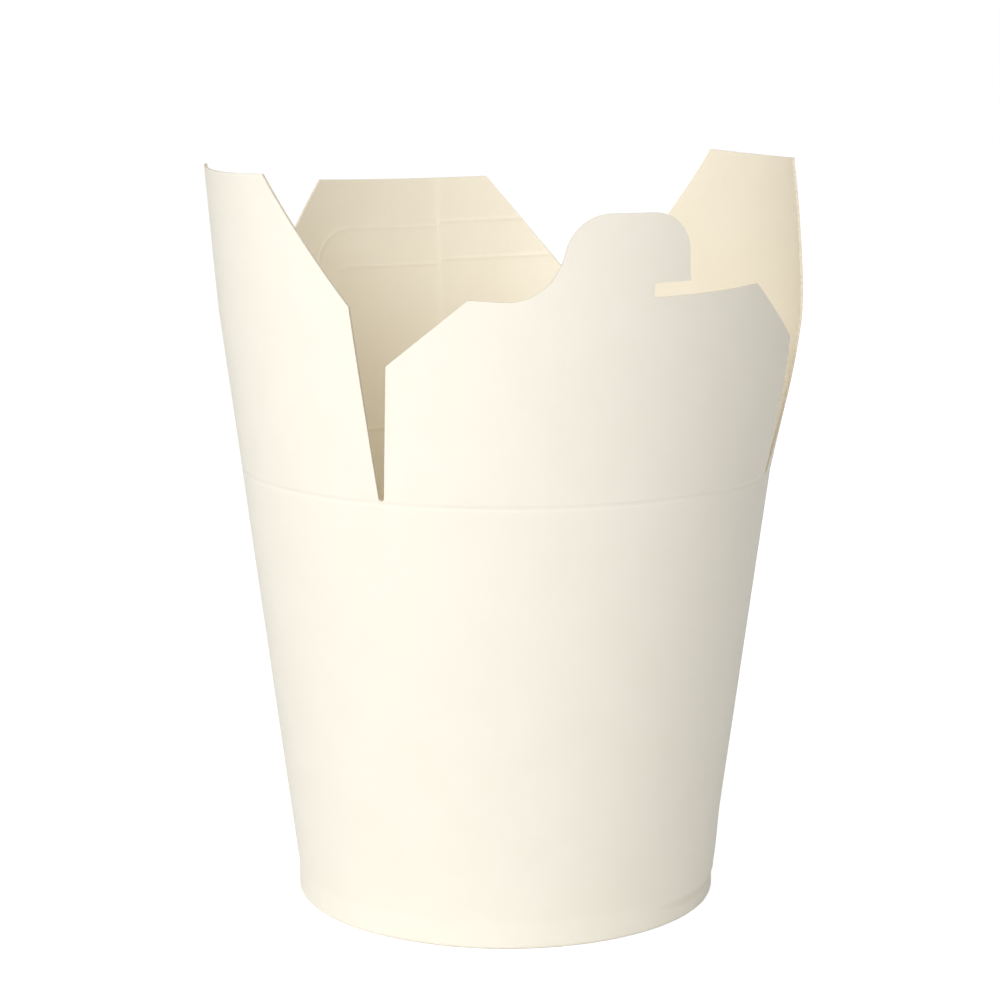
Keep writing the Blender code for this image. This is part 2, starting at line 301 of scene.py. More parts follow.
def bump(distance, half):
    """1 in the middle of a pressed line, 0 at its sides."""
    return 0.5 + 0.5 * math.cos(math.pi * distance / half) if abs(distance) < half else 0.0


def at(turn, radius, z):
    """A point round the box: 0 is the front (-Y), a quarter turn is +X."""
    return Vector((radius * math.sin(turn), -radius * math.cos(turn), z))


class BoardForm:
    """Where the board lies on the cone. Angles are in radians from the front."""

    def __init__(self, box):
        wall = box.wall
        self.wall = wall
        self.board = wall.board
        self.slope = math.hypot(1.0, wall.taper)
        self.apex = wall.rim_radius * self.slope / wall.taper
        self.turn = wall.taper / self.slope

    def cone_radius(self, z):
        return self.wall.rim_radius + self.wall.taper * (z - self.wall.rim_height)

    def foot_radius(self, z):
        """Outside radius with the pressed band."""
        wall = self.wall
        band = 1.0 - smoothstep(wall.heel_height, wall.heel_height + wall.heel_ease, z)
        return self.cone_radius(z) + (wall.heel_radius - self.cone_radius(z)) * band

    def lap_shift(self, turn, z):
        """How far the outer and inner faces move out because of the glued lap."""
        wall = self.wall
        from_centre = (turn - wall.lap_centre + math.pi) % (2.0 * math.pi) - math.pi
        half = 0.5 * wall.lap_width
        ease_out = 1.0 - smoothstep(half, half + wall.lap_ease, abs(from_centre))
        shift = 0.5 * wall.lap_step * ease_out
        outer, inner = [
            shift * (2.0 * smoothstep(edge - LAP_EDGE, edge + LAP_EDGE, from_centre) - 1.0)
            for edge in (-half, half)]
        return outer, inner * smoothstep(wall.lap_low, wall.lap_high, z)

    def relief(self, turn, z):
        """Small waves in the board, less the pressed score line round the rim."""
        wall = self.wall
        point = at(turn, wall.rim_radius, z) / wall.wave_size
        calm = smoothstep(wall.heel_height, CALM_HEIGHTS * wall.heel_height, z)
        score = bump((z - wall.rim_height) * self.slope - wall.score_rise, wall.score_half)
        return wall.wave * calm * noise.noise(point) - wall.score_depth * score

    def foot_relief(self, turn, z):
        """Slight puckers in the pressed band, and the swell and groove on the right side."""
        wall = self.wall
        low = 1.0 - smoothstep(0.0, wall.heel_height + wall.heel_ease, z)
        around = at(turn, PUCKER_RADIUS, z * PUCKER_RISE)
        puckers = noise.noise(around) + 0.5 * noise.noise(around * SMALL_PUCKERS)
        turn = turn % (2.0 * math.pi)
        side = (smoothstep(wall.swell_start, wall.swell_start + SWELL_FADE, turn)
                * (1.0 - smoothstep(wall.swell_end - SWELL_FADE, wall.swell_end, turn)))
        middle = wall.groove_height
        over = smoothstep(middle + SWELL_FOOT[0], middle + SWELL_FOOT[1], z)
        over *= 1.0 - smoothstep(SWELL_TOP[0] * middle, SWELL_TOP[1] * middle, z)
        groove = wall.groove * bump(z - middle, GROOVE_HALF)
        return wall.crimp * low * puckers + side * (wall.swell * over - groove)

    def half_angle(self, half):
        """Angle round the rim of a point on the score line, half a flap's width from its middle."""
        return math.asin(half / self.apex) / self.turn

    def unroll(self, turn, height):
        """Flat place of a point, from its angle off the flap's middle and height up the wall."""
        reach = self.apex + height
        flat_turn = turn * self.turn
        return Vector((reach * math.sin(flat_turn), reach * math.cos(flat_turn) - self.apex, 0.0))

    def roll_up(self, x, y):
        """Angle off the flap's middle and height up the wall of a point of the flat blank."""
        return math.atan2(x, y + self.apex) / self.turn, math.hypot(x, y + self.apex) - self.apex


def with_lap_edges(wall, turns):
    """Puts three close columns at each edge of the lap, in place of any column very near it."""
    for side in (-0.5, 0.5):
        edge = wall.lap_centre + side * wall.lap_width
        turns = [turn for turn in turns if abs(turn - edge) > LAP_EDGE + NEAREST_COLUMN]
        turns += [edge - LAP_EDGE, edge, edge + LAP_EDGE]
    return sorted(turns)


# Blanks of board

CUT_MERGE = 1e-8            # distances under which a cut, a blank and the wall's seam join points
BLANK_MERGE = 0.02 * MM
SEAM_MERGE = 0.001 * MM
SHARP = math.radians(30.0)  # angle of an edge that stays sharp


def deselect_all():
    if bpy.context.mode != "OBJECT":
        bpy.ops.object.mode_set(mode="OBJECT")
    bpy.ops.object.select_all(action="DESELECT")


def select_only(piece):
    deselect_all()
    piece.select_set(True)
    bpy.context.view_layer.objects.active = piece


def edit_faces(piece):
    """Opens a piece for editing by faces, with nothing selected."""
    select_only(piece)
    bpy.ops.object.mode_set(mode="EDIT")
    bpy.ops.mesh.select_mode(type="FACE")
    bpy.ops.mesh.select_all(action="DESELECT")


def select_faces(piece, wanted):
    """Selects the faces that wanted(face) picks, and no others. Returns how many there are."""
    bpy.ops.mesh.select_all(action="DESELECT")
    mesh = bmesh.from_edit_mesh(piece.data)
    picked = [face for face in mesh.faces if wanted(face)]
    for face in picked:
        face.select_set(True)
    bmesh.update_edit_mesh(piece.data)
    return len(picked)


def add_grid(name, columns, rows, place):
    """Adds a grid whose corners lie at place(column, row)."""
    deselect_all()
    bpy.ops.mesh.primitive_grid_add(x_subdivisions=len(columns) - 1,
                                    y_subdivisions=len(rows) - 1, size=1.0)
    piece = bpy.context.active_object
    piece.name = piece.data.name = name
    if len(piece.data.vertices) != len(columns) * len(rows):
        raise RuntimeError(f"{name}: the grid has {len(piece.data.vertices)} corners")
    for index, vert in enumerate(piece.data.vertices):
        row, column = divmod(index, len(columns))
        vert.co = place(columns[column], rows[row])
    return piece


def cut_along(piece, start, end):
    """Cuts the blank along a straight line, through the faces that the line crosses."""
    along = (end - start).normalized()
    across = Vector((along.y, -along.x, 0.0))
    far = (end - start).length

    def crossed(face):
        sides = [across.dot(vert.co - start) for vert in face.verts]
        if min(sides) > -TINY or max(sides) < TINY:
            return False
        reach = [along.dot(vert.co - start) for vert in face.verts]
        return max(reach) > TINY and min(reach) < far - TINY

    if select_faces(piece, crossed):
        bpy.ops.mesh.bisect(plane_co=start, plane_no=across, threshold=CUT_MERGE)


def inside(outline, point):
    """True where a point lies inside a closed flat outline."""
    within = False
    for a, b in zip(outline, outline[1:] + outline[:1]):
        if (a.y > point.y) != (b.y > point.y):
            if point.x < a.x + (b.x - a.x) * (point.y - a.y) / (b.y - a.y):
                within = not within
    return within


def cut_out(piece, outline):
    """Cuts the blank to an outline and takes the waste away."""
    edit_faces(piece)
    for start, end in zip(outline, outline[1:] + outline[:1]):
        cut_along(piece, start, end)
    select_faces(piece, lambda face: not inside(outline, face.calc_center_median()))
    bpy.ops.mesh.delete(type="FACE")
    bpy.ops.mesh.select_all(action="SELECT")
    bpy.ops.mesh.remove_doubles(threshold=BLANK_MERGE)
    bpy.ops.object.mode_set(mode="OBJECT")


def round_corner(centre_x, centre_y, radius, start, end, step=math.radians(5.0)):
    """Points on a rounded corner, angles anticlockwise from +x, ends included."""
    count = max(1, round(abs(end - start) / step))
    turns = [start + (end - start) * k / count for k in range(count + 1)]
    return points(*[(centre_x + radius * math.cos(t), centre_y + radius * math.sin(t))
                    for t in turns])


def points(*pairs):
    return [Vector((x, y, 0.0)) for x, y in pairs]


def hooked_outline(flaps, tab):
    """The hooked flap's free outline, seen from outside, anticlockwise from its right side."""
    quarter = 0.5 * math.pi
    outline = points((flaps.front_half, flaps.front_right_corner),
                     (tab.shoulder_half, tab.right_shoulder),
                     (tab.slot_end, tab.right_shoulder),
                     (tab.slot_end, tab.slot_top),
                     (tab.hook_tip, tab.slot_top))
    outline += round_corner(tab.hook_x, tab.top - tab.hook_radius, tab.hook_radius, 0.0, quarter)
    outline += round_corner(tab.crown_x, tab.top - tab.crown_radius, tab.crown_radius,
                            quarter, quarter + tab.slope)
    outline += round_corner(tab.hollow_x, tab.left_shoulder + tab.hollow_radius,
                            tab.hollow_radius, tab.slope - quarter, -quarter)
    outline += points((-tab.shoulder_half, tab.left_shoulder),
                      (-flaps.front_half, flaps.front_left_corner))
    return outline


def plain_outline(half, corner, top_half, top):
    """A plain flap's free outline: straight sides, sloping shoulders and a straight top."""
    return points((half, corner), (top_half, top), (-top_half, top), (-half, corner))


class Flap:
    """One flap: where it is and what it is cut to."""

    def __init__(self, name, body, centre, crease_half, outline, stray):
        self.name = name
        self.body = body
        self.centre = math.radians(centre)
        self.crease_half = crease_half
        self.outline = outline
        self.stray = stray
        self.top = max(point.y for point in outline)
        self.score_lines = []


def notch_side(form, flap, side, web):
    """From the middle of the web round half of the notch, up to a flap's side. side is 1 or -1."""
    reach = flap_reach(form, flap)
    radius = form.unroll(reach, 0.0).x - flap.crease_half
    middle = form.unroll(reach, web + radius)
    upright = Matrix.Rotation(-reach * form.turn, 3, "Z")
    corner = [middle + upright @ point
              for point in round_corner(0.0, 0.0, radius, math.radians(270.0),
                                        math.radians(180.0), math.radians(22.5))]
    return points(*[(side * point.x, point.y) for point in corner])


def flap_reach(form, flap):
    """Angle from a flap's middle to the middle of the notch beside it, in whole columns."""
    return COLUMN * math.ceil(form.half_angle(flap.crease_half) / COLUMN)


def flap_columns(form, flap):
    """Columns from notch to notch, closer together at the lap's edges."""
    reach = round(flap_reach(form, flap) / COLUMN)
    turns = [flap.centre + k * COLUMN for k in range(-reach, reach + 1)]
    if turns[0] < form.wall.lap_centre < turns[-1]:
        turns = with_lap_edges(form.wall, turns)
    return [turn - flap.centre for turn in turns]


def flap_rows(flap):
    """Rows close together over the score line, then evenly to above the top."""
    rows = [k * FINE_ROW for k in range(12)]
    return rows + [k * ROW for k in range(2, math.ceil(flap.top / ROW) + WASTE)]


def wrapped(form, flap, x, y, inner, flaps):
    """Where a point of the flat flap's outer or inner face lies once the flap is wrapped."""
    left_out, right_out, left_lean, right_lean = flap.stray
    turn, height = form.roll_up(x, y)
    side = turn / form.half_angle(flap.crease_half)
    rise = min(height / flap.top, 1.0)
    out = right_out if side > 0.0 else left_out
    out *= abs(side) ** flaps.side_curve * math.sin(math.pi * rise)
    leaning = max(height - flaps.lean_start, 0.0) / (flap.top - flaps.lean_start)
    top_side = min(max(0.5 + side, 0.0), 1.0)
    lean = (left_lean + (right_lean - left_lean) * top_side) * leaning ** flaps.lean_curve
    z = form.wall.rim_height + height / form.slope
    outer_shift, inner_shift = form.lap_shift(flap.centre + turn, z)
    ply = inner_shift - form.board * form.slope if inner else outer_shift
    pressed = sum(line.height_at(x, y) for line in flap.score_lines)
    turn += flap.centre
    radius = form.cone_radius(z) + out - lean + ply + form.relief(turn, z) - pressed
    return at(turn, radius, z)


class ScoreLine:
    """A line pressed into the board from outside, so it stands out of the inner face.

    It keeps between start_x and end_x, and runs out over half its width at either.
    """

    def __init__(self, path, half, height, start_x, end_x):
        self.path = path
        self.half = half
        self.height = height
        self.start_x = start_x
        self.end_x = end_x

    def distance(self, x, y):
        """From a point to the nearest part of the line."""
        point = Vector((x, y, 0.0))
        distances = []
        for a, b in zip(self.path, self.path[1:]):
            t = min(max((point - a).dot(b - a) / (b - a).length_squared, 0.0), 1.0)
            distances.append((point - a.lerp(b, t)).length)
        return min(distances)

    def height_at(self, x, y):
        if not self.start_x <= x <= self.end_x:
            return 0.0
        run_out = smoothstep(0.0, self.half, min(x - self.start_x, self.end_x - x))
        return self.height * run_out * bump(self.distance(x, y), self.half)


def back_score_lines(form, scores, flap):
    """The two pressed lines, each in one part on the outer ply and one on the inner ply."""
    edge = form.wall.lap_centre + 0.5 * form.wall.lap_width - flap.centre
    past_side = -40.0 * MM
    far = 1.0
    lines = []
    # the upper line's end turns down by a full quarter, the lower one's only starts to
    for height, end_turn in ((scores.upper, 90.0), (scores.lower, 28.0)):
        seam = form.unroll(edge, height).x
        path = round_corner(scores.end, height - scores.end_radius, scores.end_radius,
                            math.radians(90.0 - end_turn), math.radians(90.0))
        path += points((seam - 2.0 * scores.half, height))
        lines.append(ScoreLine(path, scores.half, scores.height, seam, far))
        raised = height + scores.step
        path = points((seam + 2.0 * scores.half, raised), (past_side, raised))
        lines.append(ScoreLine(path, scores.half, scores.height, -far, seam))
    return lines


def refine_scores(piece, flap):
    """Splits the faces along the pressed lines, so that the lines have a shape."""
    edit_faces(piece)
    for _ in range(2):
        select_faces(piece, lambda face: any(near_line(line, face) for line in flap.score_lines))
        bpy.ops.mesh.subdivide(number_cuts=1)
    bpy.ops.object.mode_set(mode="OBJECT")


def near_line(line, face):
    """True for a face that a pressed line may reach."""
    x, y, _ = face.calc_center_median()
    along = line.start_x - ROW < x < line.end_x + ROW
    return along and line.distance(x, y) < line.half + FACE_REACH


def give_thickness(piece, board):
    """Extrudes the flat blank inwards by the board's thickness."""
    edit_faces(piece)
    bpy.ops.mesh.select_all(action="SELECT")
    bpy.ops.mesh.extrude_region_move(TRANSFORM_OT_translate={"value": (0.0, 0.0, -board)})
    bpy.ops.object.mode_set(mode="OBJECT")


def make_flap(form, flap, flaps):
    """Cuts, thickens and wraps one flap, and gives each side and the cut edge its material."""
    piece = add_grid(flap.name + "_sheet", flap_columns(form, flap), flap_rows(flap), form.unroll)
    right, left = [notch_side(form, flap, side, flaps.web) for side in (1.0, -1.0)]
    clear = right[0] + Vector((WASTE * ROW, 0.0, 0.0))
    outline = points((-clear.x, -WASTE * ROW), (clear.x, -WASTE * ROW), (clear.x, clear.y))
    outline += right + flap.outline + left[::-1] + points((-clear.x, clear.y))
    cut_out(piece, outline)
    if flap.score_lines:
        refine_scores(piece, flap)
    give_thickness(piece, form.board)
    inner = [vert.co.z < -0.5 * form.board for vert in piece.data.vertices]
    add_board_materials(piece)
    for face in piece.data.polygons:
        layers = {inner[k] for k in face.vertices}
        face.material_index = EDGE if len(layers) == 2 else INSIDE if layers == {True} else OUTSIDE
    for vert in piece.data.vertices:
        vert.co = wrapped(form, flap, vert.co.x, vert.co.y, inner[vert.index], flaps)
    finish_sheet(piece)
    return piece


def finish_sheet(piece):
    """Points the faces out and smooths all but the sharp edges."""
    edit_faces(piece)
    bpy.ops.mesh.select_all(action="SELECT")
    bpy.ops.mesh.normals_make_consistent(inside=False)
    bpy.ops.object.mode_set(mode="OBJECT")
    select_only(piece)
    bpy.ops.object.shade_smooth_by_angle(angle=SHARP)
    check_closed(piece)


def check_closed(piece):
    """Stops the script if a piece is open or inside out."""
    mesh = bmesh.new()
    mesh.from_mesh(piece.data)
    open_edges = sum(1 for edge in mesh.edges if not edge.is_manifold)
    volume = mesh.calc_volume(signed=True)
    mesh.free()
    if open_edges or volume <= 0.0:
        raise RuntimeError(f"{piece.name}: {open_edges} open edges, volume {volume:.3g}")


# Materials

COAT_GRAIN = (0.02 * MM, 90.0, 1800.0)    # height of the relief, scales of clouds and fibres
EDGE_GRAIN = (0.06 * MM, 1500.0, 6000.0)
CLOUD_RANGE = (0.35, 0.75)                # values of the clouds from the first colour to the second
FIBRE_RANGE = (0.3, 0.7)                  # values of the fibres over which the roughness wanders
ROUGHNESS_WANDER = 0.05
RELIEF_STRENGTH = 0.35


def add_node(tree, kind, values=None):
    """Adds a node and sets the values given for its sockets."""
    node = tree.nodes.new(kind)
    for socket, value in (values or {}).items():
        node.inputs[socket].default_value = value
    return node


def board_fibre_group():
    """Cloudy mottling and fine fibre of pressed board, as two masks and a height."""
    group = bpy.data.node_groups.get("Board Fibre")
    if group:
        return group
    group = bpy.data.node_groups.new("Board Fibre", "ShaderNodeTree")
    for name in ("Cloud Scale", "Fibre Scale"):
        group.interface.new_socket(name=name, in_out="INPUT", socket_type="NodeSocketFloat")
    for name in ("Cloud", "Fibre", "Height"):
        group.interface.new_socket(name=name, in_out="OUTPUT", socket_type="NodeSocketFloat")
    given = add_node(group, "NodeGroupInput")
    result = add_node(group, "NodeGroupOutput")
    coordinates = add_node(group, "ShaderNodeTexCoord")
    stretched = add_node(group, "ShaderNodeMapping", {"Scale": (1.0, 1.0, 0.35)})
    cloud = add_node(group, "ShaderNodeTexNoise", {"Detail": 3.0, "Roughness": 0.55})
    fibre = add_node(group, "ShaderNodeTexNoise", {"Detail": 4.0, "Roughness": 0.65})
    grain = add_node(group, "ShaderNodeTexNoise", {"Detail": 2.0, "Scale": 700.0})
    blend = add_node(group, "ShaderNodeMath", {1: 0.5})
    blend.operation = "MULTIPLY_ADD"
    links = group.links
    links.new(coordinates.outputs["Object"], cloud.inputs["Vector"])
    links.new(coordinates.outputs["Object"], stretched.inputs["Vector"])
    links.new(coordinates.outputs["Object"], grain.inputs["Vector"])
    links.new(stretched.outputs["Vector"], fibre.inputs["Vector"])
    links.new(given.outputs["Cloud Scale"], cloud.inputs["Scale"])
    links.new(given.outputs["Fibre Scale"], fibre.inputs["Scale"])
    links.new(grain.outputs["Fac"], blend.inputs[0])
    links.new(fibre.outputs["Fac"], blend.inputs[2])
    links.new(cloud.outputs["Fac"], result.inputs["Cloud"])
    links.new(fibre.outputs["Fac"], result.inputs["Fibre"])
    links.new(blend.outputs["Value"], result.inputs["Height"])
    return group


def spread(tree, mask, low, high, to_low, to_high):
    """A mask with one range of its values spread over another range."""
    node = add_node(tree, "ShaderNodeMapRange", {"From Min": low, "From Max": high,
                                                 "To Min": to_low, "To Max": to_high})
    tree.links.new(mask, node.inputs["Value"])
    return node.outputs["Result"]


def fibre_surface(name, first, second, roughness, relief_height, cloud_scale, fibre_scale):
    """A board surface: two close colours, a roughness that wanders and a fine fibre relief."""
    material = bpy.data.materials.new(name)
    material.use_nodes = True
    tree, links = material.node_tree, material.node_tree.links
    shader = tree.nodes["Principled BSDF"]
    texture = tree.nodes.new("ShaderNodeGroup")
    texture.node_tree = board_fibre_group()
    texture.inputs["Cloud Scale"].default_value = cloud_scale
    texture.inputs["Fibre Scale"].default_value = fibre_scale
    mix = tree.nodes.new("ShaderNodeMix")
    mix.data_type = "RGBA"
    mix.inputs["A"].default_value = (*first, 1.0)
    mix.inputs["B"].default_value = (*second, 1.0)
    relief = add_node(tree, "ShaderNodeBump", {"Strength": RELIEF_STRENGTH,
                                               "Distance": relief_height})
    links.new(spread(tree, texture.outputs["Cloud"], *CLOUD_RANGE, 0.0, 1.0),
              mix.inputs["Factor"])
    links.new(mix.outputs["Result"], shader.inputs["Base Color"])
    links.new(spread(tree, texture.outputs["Fibre"], *FIBRE_RANGE, roughness - ROUGHNESS_WANDER,
                     roughness + ROUGHNESS_WANDER), shader.inputs["Roughness"])
    links.new(texture.outputs["Height"], relief.inputs["Height"])
    links.new(relief.outputs["Normal"], shader.inputs["Normal"])
    return material


def add_board_materials(piece):
    """Gives a piece its materials: coated outer face, coated inner face and bare cut edge."""
    look = settings().look
    coat = look.coat_roughness
    made = (("coated_outside", look.outside, look.outside_deep, coat, *COAT_GRAIN),
            # The inner coat's colours carry painted bounce light besides the coat's own warmer
            # tone.
            ("coated_inside_with_painted_bounce", look.inside, look.inside_deep, coat, *COAT_GRAIN),
            ("cut_edge", look.edge, look.edge_deep, look.edge_roughness, *EDGE_GRAIN))
    for name, *values in made:
        piece.data.materials.append(bpy.data.materials.get(name) or fibre_surface(name, *values))


# Operators

WALL_ROW = 3.0 * MM         # between the rows of the plain wall
BAND_ROW = 0.2 * MM         # between the rows over the foot band
BAND_MIDDLE = 3.0 * MM      # height of a row on the straight part of the band
OUTER_FOLD_STEPS = 12       # faces round the outside and the inside of the turned edge
INNER_FOLD_STEPS = 8
DISC_SIDES = 192
DISC_RING = 2.0 * MM        # width of the ring of faces at the disc's edge
BEND_STEPS = 5              # faces round the bend between the disc and its skirt


def base_gap(wall):
    """Clearance between the base's skirt and the board on each side of it."""
    return wall.heel_radius - wall.board - BASE_HIGH.x


class NoodleBoxMakeWall(bpy.types.Operator):
    """Make the tapered wall with its glued lap, pressed band and turned edge"""

    bl_idname = "noodle_box.make_wall"
    bl_label = "Wall"

    def execute(self, context):
        form = BoardForm(settings())
        around = [k * COLUMN for k in range(round(2.0 * math.pi / COLUMN))]
        turns = with_lap_edges(form.wall, around)
        sections = {turn: self.section(form, turn) for turn in turns}
        count = len(sections[turns[0]])

        def place(turn, row):
            radius, z = sections[turn][row]
            return at(turn, radius, z)

        piece = add_grid("wall_sheet", turns + turns[:1], [*range(count), 0], place)
        edit_faces(piece)
        bpy.ops.mesh.select_all(action="SELECT")
        bpy.ops.mesh.remove_doubles(threshold=SEAM_MERGE)
        bpy.ops.object.mode_set(mode="OBJECT")
        finish_sheet(piece)
        add_board_materials(piece)
        for face in piece.data.polygons:
            face.material_index = self.slot_of(form, face)
        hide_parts("sleeve")
        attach(piece, "box")
        return {"FINISHED"}

    @staticmethod
    def slot_of(form, face):
        """Faces that look inwards above the turned edge are the inner side of the sheet."""
        if face.center.z > form.wall.rim_height - 0.01 * MM:
            return EDGE
        inwards = face.normal.x * face.center.x + face.normal.y * face.center.y < 0.0
        return INSIDE if inwards and face.center.z > form.wall.turn_up else OUTSIDE

    def section(self, form, turn):
        """Down the outside, round the fold, up the turned edge and back up the inside."""
        wall = form.wall
        fold = 0.5 * (3.0 * wall.board + 2.0 * base_gap(wall))
        band_top = wall.heel_height + wall.heel_ease
        heights = self.heights(wall, fold)
        centre = wall.heel_radius - fold + form.foot_relief(turn, fold)

        def face(z, layer):
            """A point of the outer face (layer 0) or of the inner face (layer 1)."""
            return (form.foot_radius(z) - layer * wall.board * form.slope
                    + form.lap_shift(turn, z)[layer]
                    + form.relief(turn, z) + form.foot_relief(turn, z), z)

        turned = [(form.foot_radius(z) - 2.0 * fold + form.foot_relief(turn, fold), z)
                  for z in (2.0 * fold, BAND_MIDDLE, wall.heel_height, band_top, wall.turn_up)]
        return [
            *[face(z, 0) for z in heights],
            *self.arc(centre, fold, fold, 0.0, -math.pi, OUTER_FOLD_STEPS),
            *turned,
            *[(radius + wall.board, z) for radius, z in reversed(turned)],
            *self.arc(centre, fold, fold - wall.board, -math.pi, 0.0, INNER_FOLD_STEPS),
            *[face(z, 1) for z in reversed(heights)],
        ]

    @staticmethod
    def heights(wall, fold):
        """Heights of the wall's rows, from the rim down to the fold, closest at the foot."""
        rim, lap_run = wall.rim_height, wall.lap_high - wall.lap_low
        band_top = wall.heel_height + wall.heel_ease
        rows = [rim - k * FINE_ROW for k in range(6)] + [rim - 1.5 * MM]
        count = round((rim - wall.lap_high) / WALL_ROW)
        rows += [rim + (wall.lap_high - rim) * k / count for k in range(1, count + 1)]
        rows += [wall.lap_high - lap_run * k / 4 for k in range(1, 5)]
        rows += [7.5 * MM]  # between the lap's start and the band
        rows += [band_top + (2 - k) * BAND_ROW for k in range(round((band_top - fold) / BAND_ROW))]
        return [z for z in rows if z > fold + 0.5 * BAND_ROW] + [fold]

    @staticmethod
    def arc(centre, height, radius, start, end, count):
        """Points between the ends of a round turn."""
        turns = [start + (end - start) * k / count for k in range(1, count)]
        return [(centre + radius * math.cos(t), height + radius * math.sin(t)) for t in turns]


class NoodleBoxMakeBase(bpy.types.Operator):
    """Make the recessed round base with the skirt that sits in the turned edge"""

    bl_idname = "noodle_box.make_base"
    bl_label = "Base"

    def execute(self, context):
        form = BoardForm(settings())
        top = BASE_HIGH.z
        profile = self.profile(form, top)
        deselect_all()
        bpy.ops.mesh.primitive_circle_add(vertices=DISC_SIDES, radius=profile[0][0],
                                          fill_type="NGON", location=(0.0, 0.0, top))
        piece = bpy.context.active_object
        piece.name = piece.data.name = "base_disc"
        bpy.ops.object.transform_apply(location=True, rotation=True, scale=True)
        edit_faces(piece)
        bpy.ops.mesh.select_all(action="SELECT")
        bpy.ops.mesh.inset(thickness=DISC_RING)
        self.draw_down(profile)
        bpy.ops.mesh.select_all(action="SELECT")
        bpy.ops.mesh.normals_make_consistent(inside=False)
        bpy.ops.object.mode_set(mode="OBJECT")
        select_only(piece)
        thick = piece.modifiers.new("Board", "SOLIDIFY")
        thick.thickness = form.board
        thick.offset = -1.0
        thick.use_even_offset = True
        bpy.ops.object.modifier_apply(modifier=thick.name)
        add_board_materials(piece)
        for face in piece.data.polygons:
            face.material_index = INSIDE if face.center.z > top - 0.3 * MM else OUTSIDE
        finish_sheet(piece)
        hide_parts("base")
        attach(piece, "box")
        return {"FINISHED"}

    @staticmethod
    def profile(form, top):
        """From the disc's flat edge round the bend and down the skirt, inside the wall."""
        wall = form.wall
        gap = base_gap(wall)

        def skirt(z):
            return form.foot_radius(z) - wall.board - gap

        low = wall.heel_height + wall.heel_ease
        flat, middle = skirt(top) - BASE_BEND, top - BASE_BEND
        round_bend = [(flat + BASE_BEND * math.sin(t), middle + BASE_BEND * math.cos(t))
                      for t in (math.radians(90.0 * k / BEND_STEPS)
                                for k in range(1, BEND_STEPS + 1))]
        straight = (low, low - 0.6 * wall.heel_ease, wall.heel_height, BAND_MIDDLE, BASE_LOW.z)
        return [(flat, top), *round_bend, *[(skirt(z), z) for z in straight]]

    @staticmethod
    def draw_down(profile):
        """Draws the disc's open edge along the profile."""
        bpy.ops.mesh.select_mode(type="EDGE")
        bpy.ops.mesh.select_all(action="DESELECT")
        bpy.ops.mesh.select_non_manifold(extend=False)
        for (radius, height), (next_radius, next_height) in zip(profile, profile[1:]):
            drop = (0.0, 0.0, next_height - height)
            bpy.ops.mesh.extrude_edges_move(TRANSFORM_OT_translate={"value": drop})
            grow = next_radius / radius
            bpy.ops.transform.resize(value=(grow, grow, 1.0), center_override=(0.0, 0.0, 0.0))


def place_flap(piece, flap):
    """Hides the packed flap part and bakes the flap's transform into its mesh."""
    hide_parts(flap.name)
    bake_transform(piece)


class NoodleBoxMakeHookedFlap(bpy.types.Operator):
    """Make the front flap with its hooked tab and slot"""

    bl_idname = "noodle_box.make_hooked_flap"
    bl_label = "Hooked Flap"

    def execute(self, context):
        box = settings()
        flaps = box.flaps
        flap = Flap("front_flap", "front", 0.0, flaps.front_crease_half,
                    hooked_outline(flaps, box.tab), flaps.front_stray)
        place_flap(make_flap(BoardForm(box), flap, flaps), flap)
        return {"FINISHED"}


class NoodleBoxMakePlainFlaps(bpy.types.Operator):
    """Make the left, right and back flaps, the last with its pressed lines"""

    bl_idname = "noodle_box.make_plain_flaps"
    bl_label = "Plain Flaps"

    def execute(self, context):
        box = settings()
        flaps = box.flaps
        form = BoardForm(box)
        outline = plain_outline(flaps.front_half, flaps.back_corner, flaps.back_top_half,
                                flaps.back_top)
        back = Flap("back_flap", "back", 180.0, flaps.front_crease_half, outline,
                    flaps.back_stray)
        back.score_lines = back_score_lines(form, box.scores, back)
        right, left = [
            Flap(name + "_flap", name, centre, flaps.side_half,
                 plain_outline(flaps.side_half, flaps.side_corner, flaps.side_top_half, top),
                 out)
            for name, centre, top, out in (
                ("right", 90.0, flaps.right_top, flaps.right_stray),
                ("left", 270.0, flaps.left_top, flaps.left_stray))]
        for flap in (right, back, left):
            place_flap(make_flap(form, flap, flaps), flap)
        return {"FINISHED"}


WHITE = (1.0, 1.0, 1.0)
FLOOR_SIZE = 6.0
LIGHT_SIZE = 0.9
LIT_POINT = Vector((0.0, 0.0, 0.07))
KEY_PLACE = Vector((-0.927, -0.829, 0.909))
SIDE_PLACE = Vector((-1.227, 0.069, 0.930))
BACK_PLACE = Vector((0.9, 0.9, 0.9))


def show_camera(tree, plain, seen, output):
    """Gives one shader to all rays but the camera's, and the other to the camera's."""
    path = add_node(tree, "ShaderNodeLightPath")
    mix = add_node(tree, "ShaderNodeMixShader")
    tree.links.new(path.outputs["Is Camera Ray"], mix.inputs["Fac"])
    tree.links.new(plain, mix.inputs[1])
    tree.links.new(seen, mix.inputs[2])
    tree.links.new(mix.outputs["Shader"], tree.nodes[output].inputs["Surface"])


